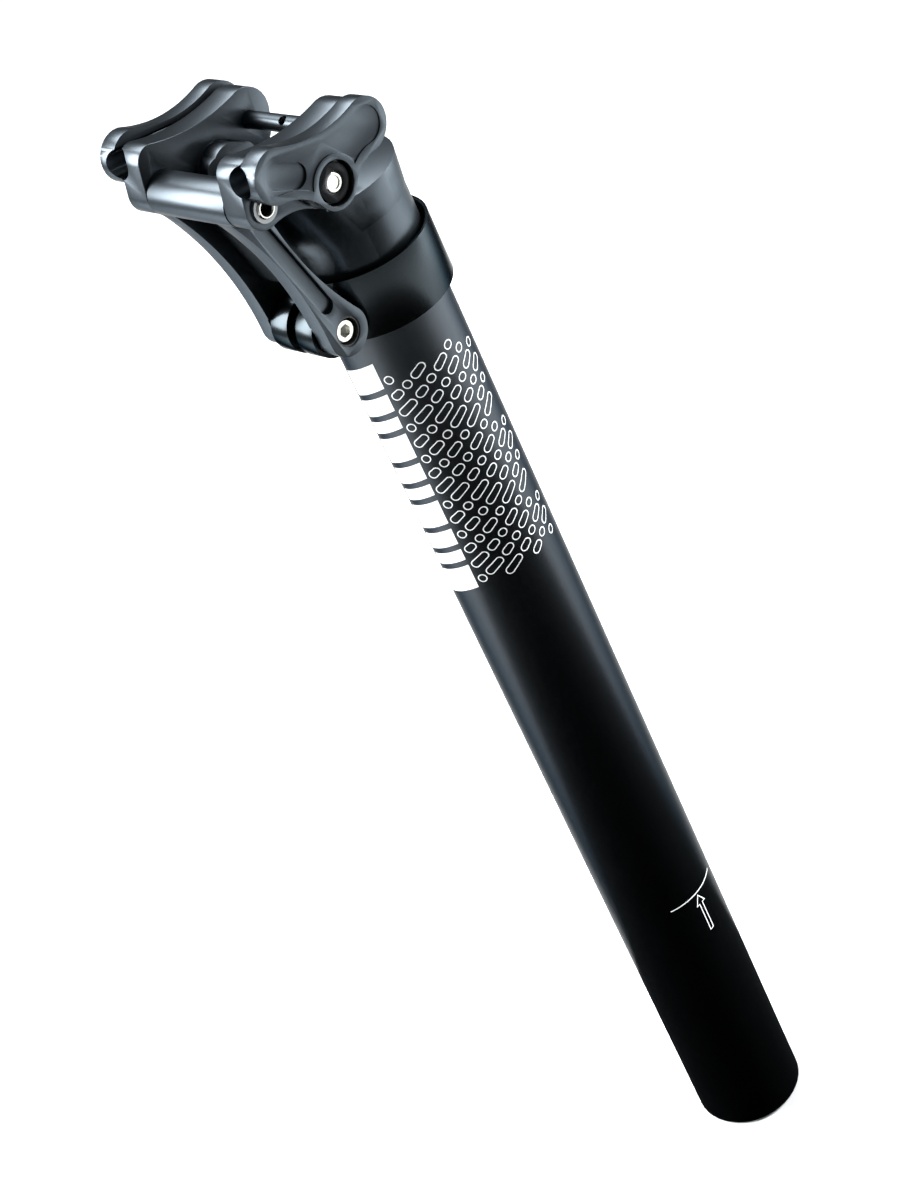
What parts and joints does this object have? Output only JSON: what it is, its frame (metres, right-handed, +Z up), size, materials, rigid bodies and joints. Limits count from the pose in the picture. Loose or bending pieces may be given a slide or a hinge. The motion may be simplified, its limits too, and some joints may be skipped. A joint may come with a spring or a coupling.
{
  "type": "seatpost",
  "caption": "Rigid aluminium seatpost with a setback head, a two-rail clamp and a saddle tilt set by a sliding, split collar and a link.",
  "frame": {"origin": "on the tube's axis at its open lower end", "axes": "+Z up the post, +X towards the setback side (the bicycle's rear), +Y towards the bicycle's right"},
  "size_m": [0.0564, 0.0555, 0.3623],
  "materials": {
    "tube_black": "matte black anodised",
    "forged_black": "satin black anodised forging",
    "gloss_black": "semi-gloss black anodised",
    "bright_steel": "plated",
    "grey_steel": "zinc",
    "black_steel": "black oxide",
    "bush": "plain bearing polymer",
    "plug": "moulded"
  },
  "bodies": {
    "post": {"post": "tube_black", "pivot_sleeve": "bright_steel", "thrust_washers": "grey_steel", "tube_plug": "plug"},
    "cradle": {"jaw_right": "forged_black", "jaw_left": "forged_black", "cross_tube": "forged_black", "link_pin": "bright_steel", "pin_circlips": "grey_steel"},
    "link": {"link": "forged_black", "barrel_bushes": "bush", "eye_bushes": "bush"},
    "collar": {"collar": "gloss_black", "pinch_washers": "grey_steel", "pinch_nut": "bright_steel"},
    "pinch_bolt": {"pinch_bolt": "bright_steel"},
    "right_clamp": {"clamp_right": "forged_black", "clamp_nut": "black_steel", "clamp_washer_right": "grey_steel"},
    "left_clamp": {"clamp_left": "forged_black", "clamp_washer_left": "grey_steel"},
    "clamp_bolt": {"clamp_bolt": "bright_steel"}
  },
  "joints": [
    {"name": "cradle_tilt", "type": "hinge", "parent": "post", "child": "cradle", "pos_m": [0.017, 0, 0.345], "axis": [0, -1, 0], "range_deg": [-10, 10]},
    {"name": "link_swing", "type": "hinge", "parent": "cradle", "child": "link", "pos_m": [0.03286, 0, 0.34875], "axis": [0, -1, 0], "range_deg": [-9.3, 9.3]},
    {"name": "collar_slide", "type": "slide", "parent": "post", "child": "collar", "axis": [0, 0, 1], "range_m": [-0.00265, 0.00265]},
    {"name": "pinch_bolt_turn", "type": "hinge", "parent": "collar", "child": "pinch_bolt", "pos_m": [0.0212, 0, 0.3044], "axis": [0, 1, 0], "continuous": true},
    {"name": "right_clamp_open", "type": "slide", "parent": "cradle", "child": "right_clamp", "axis": [0, 1, 0], "range_m": [0, 0.0012]},
    {"name": "left_clamp_open", "type": "slide", "parent": "cradle", "child": "left_clamp", "axis": [0, -1, 0], "range_m": [0, 0.0012]},
    {"name": "clamp_bolt_turn", "type": "hinge", "parent": "left_clamp", "child": "clamp_bolt", "pos_m": [0.017, 0, 0.345], "axis": [0, 1, 0], "continuous": true}
  ],
  "couplings": [
    {"joint": "link_swing", "follows": "cradle_tilt", "ratio": -0.9155},
    {"joint": "collar_slide", "follows": "cradle_tilt", "m_per_rad": 0.01488}
  ]
}
